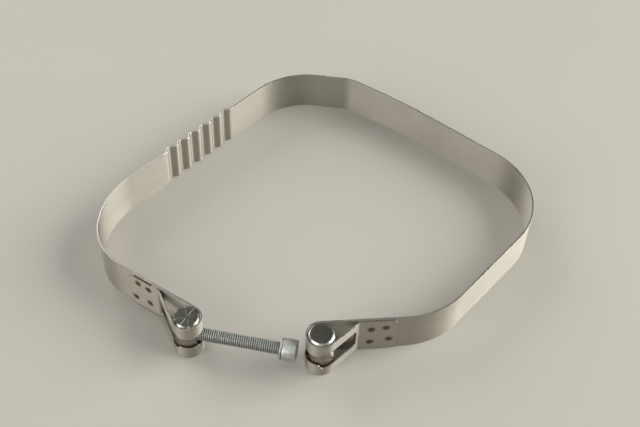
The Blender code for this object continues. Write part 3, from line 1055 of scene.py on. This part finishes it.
def screw_mesh():
    """The cap screw about local Z, its head's underside at zero, its tip below and its socket
    above."""
    mesh = bmesh.new()
    tip, neck = -SCREW_LENGTH, -NECK_LENGTH
    rows = int((neck - tip) / THREAD_PITCH * THREAD_ROWS) + 2 * THREAD_ROWS
    grid = []
    for row in range(rows):
        ring = []
        for i in range(THREAD_STEPS):
            angle = tau * i / THREAD_STEPS
            free = tip + (row / THREAD_ROWS - 1 + i / THREAD_STEPS) * THREAD_PITCH
            height = max(tip, min(neck, free))
            radius = thread_radius(height, row / THREAD_ROWS % 1)
            radius = min(radius, THREAD_OUTER - TIP_CHAMFER + (height - tip))
            if height in (tip, neck):
                radius = THREAD_OUTER - (TIP_CHAMFER if height == tip else 0)
            ring.append(mesh.verts.new((radius * cos(angle), radius * sin(angle), height)))
        grid.append(ring)
    for row in range(rows - 1):
        for i in range(THREAD_STEPS):
            j = i + 1
            if j < THREAD_STEPS:
                corners = (grid[row][i], grid[row][j], grid[row + 1][j], grid[row + 1][i])
            else:
                wrapped = min(row + THREAD_ROWS, rows - 1), min(row + THREAD_ROWS + 1, rows - 1)
                corners = (grid[row][i], grid[wrapped[0]][0], grid[wrapped[1]][0], grid[row + 1][i])
            if len(set(corners)) > 2:
                mesh.faces.new(tuple(dict.fromkeys(corners)))
    rings = [grid[-1]]
    for radius, height in head_rings():
        ring = []
        for i in range(THREAD_STEPS):
            angle = tau * i / THREAD_STEPS
            r = radius(angle) if callable(radius) else radius
            ring.append(mesh.verts.new((r * cos(angle), r * sin(angle), height)))
        rings.append(ring)
    for lower, upper in zip(rings, rings[1:]):
        for i in range(THREAD_STEPS):
            j = (i + 1) % THREAD_STEPS
            mesh.faces.new((lower[i], lower[j], upper[j], upper[i]))
    for ring, height in ((grid[0], tip), (rings[-1], HEAD_HEIGHT - SOCKET_DEPTH - SOCKET_CONE)):
        centre = mesh.verts.new((0, 0, height))
        for i in range(THREAD_STEPS):
            mesh.faces.new((ring[i], ring[(i + 1) % THREAD_STEPS], centre))
    bmesh.ops.remove_doubles(mesh, verts=mesh.verts, dist=SCREW_MERGE)
    bmesh.ops.recalc_face_normals(mesh, faces=mesh.faces)
    return mesh


def head_rings():
    """(radius, height) of the head's rings, from under it, round its side and down into the
    hexagon socket."""

    def hexagon(angle):
        return SOCKET_ACROSS_FLATS / 2 / cos((angle + pi / 6) % (pi / 3) - pi / 6)

    def hexagon_mouth(angle):
        return hexagon(angle) + SOCKET_CHAMFER

    edge = HEAD_LOWER_EDGE
    rings = [(THREAD_OUTER, -NECK_FILLET), (THREAD_OUTER + NECK_FILLET, 0)]
    rings += [(HEAD_RADIUS - edge, 0), (HEAD_RADIUS - edge / 4, edge / 4), (HEAD_RADIUS, edge)]
    edge = HEAD_UPPER_EDGE
    for i in range(HEAD_EDGE_STEPS + 1):
        angle = pi / 2 * i / HEAD_EDGE_STEPS
        radius = HEAD_RADIUS - edge * (1 - cos(angle))
        rings.append((radius, HEAD_HEIGHT - edge * (1 - sin(angle))))
    rings.append((hexagon_mouth, HEAD_HEIGHT))
    rings.append((hexagon, HEAD_HEIGHT - SOCKET_CHAMFER))
    rings.append((hexagon, HEAD_HEIGHT - SOCKET_DEPTH))
    return rings


def washer_rings():
    """(radius, height) of the washer's rings, in the screw's frame: its lower face, its outer side
    and its upper face, all with eased edges."""
    near, far = -TOUCHING_GAP - WASHER_THICKNESS, -TOUCHING_GAP
    edge, middle = WASHER_EDGE, WASHER_EDGE_MIDDLE
    return (
        (WASHER_BORE_RADIUS, near + edge),
        (WASHER_BORE_RADIUS + edge, near),
        (WASHER_RADIUS - edge, near),
        (WASHER_RADIUS - middle, near + middle),
        (WASHER_RADIUS, near + edge),
        (WASHER_RADIUS, far - edge),
        (WASHER_RADIUS - middle, far - middle),
        (WASHER_RADIUS - edge, far),
        (WASHER_BORE_RADIUS + edge, far),
        (WASHER_BORE_RADIUS, far - edge),
    )


def joint_named(joints, name):
    return next(joint for joint in joints if joint["name"] == name)


def build_screw(turn, material):
    """The cap screw and its washer, on the axis of the joint that turns the screw."""
    place = Matrix.Translation(Vector(turn["pos_m"])) @ pointing(-Vector(turn["axis"]))
    screw = object_of("cap_screw_threaded", screw_mesh(), [material])
    shade(screw, SCREW_SHARP_ANGLE)
    screw.matrix_world = place
    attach(screw, "cap_screw")
    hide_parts("cap_screw")
    ring = object_of("lock_washer_ring", turned_mesh(washer_rings(), ROUND_STEPS), [material])
    shade(ring, WASHER_SHARP_ANGLE)
    ring.matrix_world = place
    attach(ring, "lock_washer")
    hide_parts("lock_washer")


# The setting.


def build_floor():
    mesh = bmesh.new()
    bmesh.ops.create_grid(mesh, x_segments=1, y_segments=1, size=FLOOR_HALF_SIZE)
    floor = object_of("floor", mesh, [floor_paint()])


def area_light(light):
    """A soft square light aimed at the object."""
    data = bpy.data.lights.new(light.name, "AREA")
    data.shape = "SQUARE"
    data.size = light.size
    data.energy = light.power
    lamp = bpy.data.objects.new(light.name, data)
    bpy.context.scene.collection.objects.link(lamp)
    azimuth, elevation = radians(light.azimuth), radians(light.elevation)
    level = cos(elevation)
    away = Vector((sin(azimuth) * level, -cos(azimuth) * level, sin(elevation)))
    lamp.location = away * light.distance
    lamp.rotation_euler = away.to_track_quat("Z", "Y").to_euler()


def build_lights():
    world = bpy.data.worlds.new("studio")
    bpy.context.scene.world = world
    world.use_nodes = True
    sky = world.node_tree.nodes["Background"].inputs
    sky["Color"].default_value = (*SKY_COLOUR, 1)
    sky["Strength"].default_value = SKY_STRENGTH
    for light in LIGHTS:
        area_light(light)
    bpy.context.scene.view_settings.view_transform = "Standard"


def build_camera():
    """Above the near side, looking down at the object, with a slight roll."""
    data = bpy.data.cameras.new("camera")
    data.sensor_width = CAMERA_SENSOR
    data.lens = CAMERA_LENS
    data.clip_start = CAMERA_NEAR
    camera = bpy.data.objects.new("camera", data)
    bpy.context.scene.collection.objects.link(camera)
    forward = Vector((0, cos(CAMERA_PITCH), -sin(CAMERA_PITCH)))
    level_right = Vector((1, 0, 0))
    level_up = Vector((0, sin(CAMERA_PITCH), cos(CAMERA_PITCH)))
    right = level_right * cos(CAMERA_ROLL) + level_up * sin(CAMERA_ROLL)
    up = level_up * cos(CAMERA_ROLL) - level_right * sin(CAMERA_ROLL)
    turn = Matrix((right, up, -forward)).transposed().to_4x4()
    camera.matrix_world = Matrix.Translation(CAMERA_PLACE) @ turn
    bpy.context.scene.camera = camera


def main():
    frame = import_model()
    build_camera()
    build_lights()
    build_floor()
    right, left = EndLines(RIGHT_END), EndLines(LEFT_END)
    build_straps(right, left, [strap_steel(SATIN_STRIP), edge_steel(CUT_EDGE_PAINTED_HIGHLIGHT)])
    nugget = weld_metal()
    weld_nuggets(right, nugget)
    weld_nuggets(left, nugget)
    screw_turn = joint_named(frame["joints"], "screw_turn")
    build_screw(screw_turn, zinc(ZINC_PLATING))
    turned = [turned_steel(finish) for finish in (TURNED_BARREL, END_FACE_PAINTED_SHADE, CHAMFER_PAINTED_HIGHLIGHT)]
    screw_way = -Vector(screw_turn["axis"])
    plain_way = unit(PLAIN_BORE_ANGLE).to_3d()
    trunnion("threaded_trunnion", THREADED_BORE_RADIUS, screw_way, True, turned)
    trunnion("plain_trunnion", PLAIN_BORE_RADIUS, plain_way, False, turned)


main()
